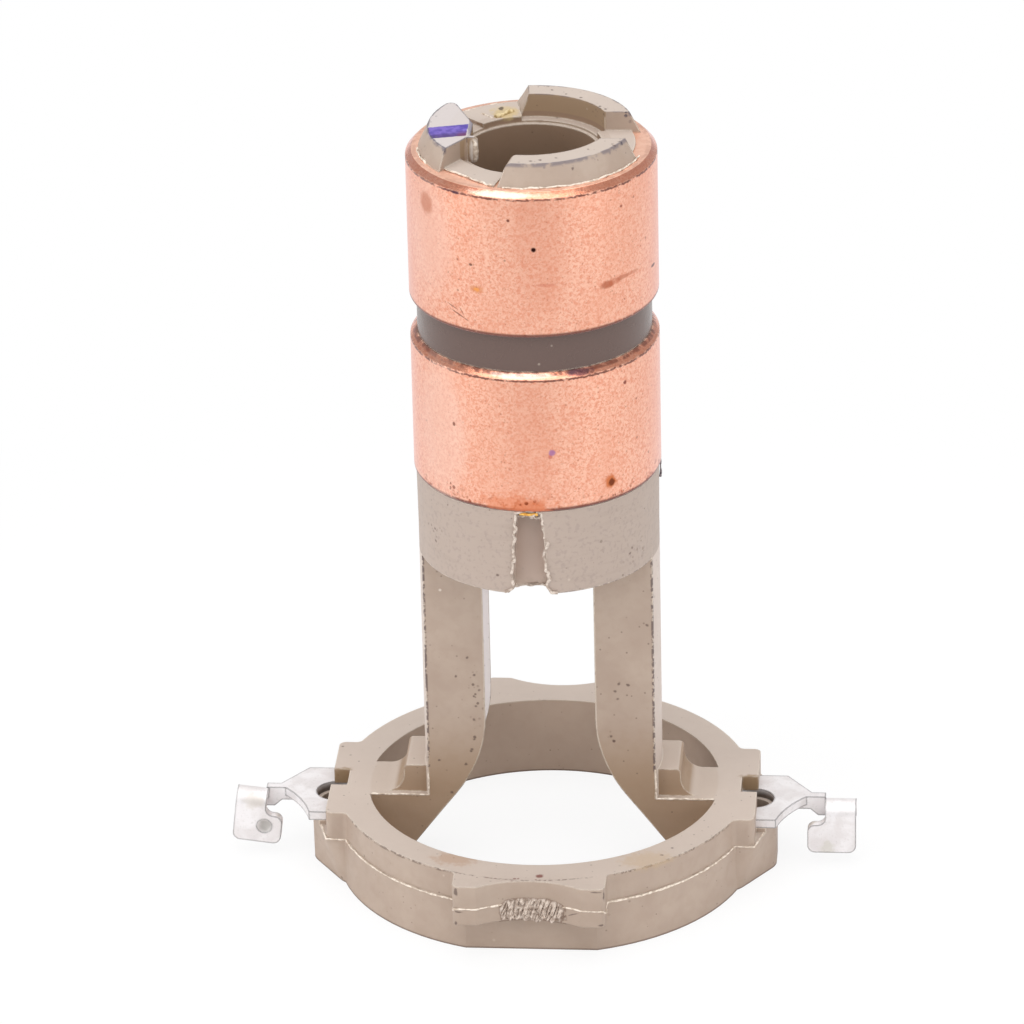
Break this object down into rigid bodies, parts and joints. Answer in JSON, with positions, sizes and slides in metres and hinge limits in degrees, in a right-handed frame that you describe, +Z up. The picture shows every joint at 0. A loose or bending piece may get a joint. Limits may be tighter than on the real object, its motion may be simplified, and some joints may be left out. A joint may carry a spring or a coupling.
{
  "type": "alternator slip ring",
  "caption": "Slip ring insert for an alternator rotor: copper rings on an insulating sleeve that stands on twin legs over an open base ring, with hooked terminals at its sides.",
  "frame": {"origin": "centre of the base ring's flat underside, on the axis of the rings", "axes": "+Z up along the axis of the rings, +X out through the terminal whose lead serves the upper ring, -Y to the front"},
  "size_m": [0.0407, 0.029, 0.0514],
  "materials": {
    "insulator": "tan filled moulding compound, matt, with fine specks",
    "copper": "turned copper, satin, lightly stained by handling",
    "tinned_metal": "tinned sheet, pale satin"
  },
  "bodies": {
    "root": {"insulator_body": "insulator", "upper_slip_ring": "copper", "lower_slip_ring": "copper", "right_terminal": "tinned_metal", "left_terminal": "tinned_metal"}
  },
  "joints": []
}
